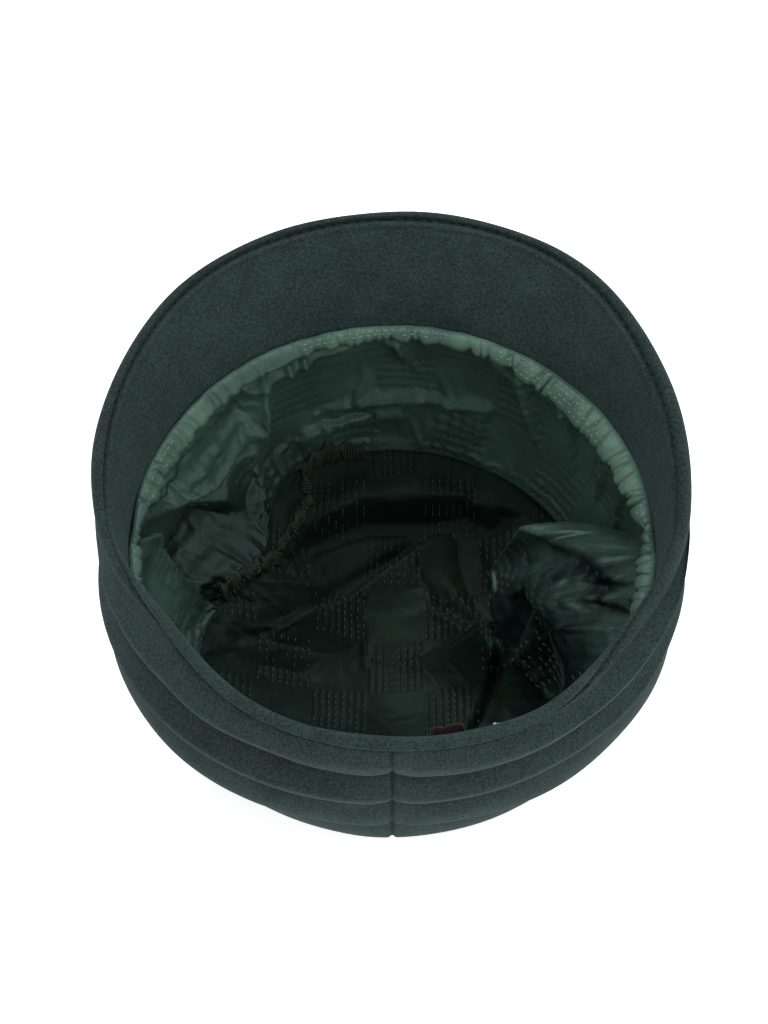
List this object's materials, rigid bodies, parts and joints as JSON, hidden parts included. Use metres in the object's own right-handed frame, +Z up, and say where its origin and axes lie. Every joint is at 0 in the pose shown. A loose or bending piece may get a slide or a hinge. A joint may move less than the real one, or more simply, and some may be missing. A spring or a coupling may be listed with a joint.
{
  "type": "cloche hat",
  "caption": "Soft wool cloche hat lying on its crown with the opening up: double brim, stepped tucks round the crown, gathered edge and slack satin lining.",
  "frame": {"origin": "centre of the flattened crown top on which the hat lies", "axes": "+Z up out of the opening, +Y toward the wide front of the brim, +X across the head"},
  "size_m": [0.2003, 0.2184, 0.119],
  "materials": {
    "wool": "matte boiled wool, dark green grey",
    "satin": "dark green satin with rows of running stitch",
    "satin_edge": "green satin, gathered",
    "label": "plain burgundy woven tape",
    "tab": "plain white woven tape"
  },
  "bodies": {
    "root": {"brim_outer": "wool", "brim_under": "wool", "crown_side": "wool", "crown_top": "wool", "lining_side": "satin", "lining_top": "satin", "lining_edge": "satin_edge", "label": "label", "size_tab": "tab"}
  },
  "joints": []
}
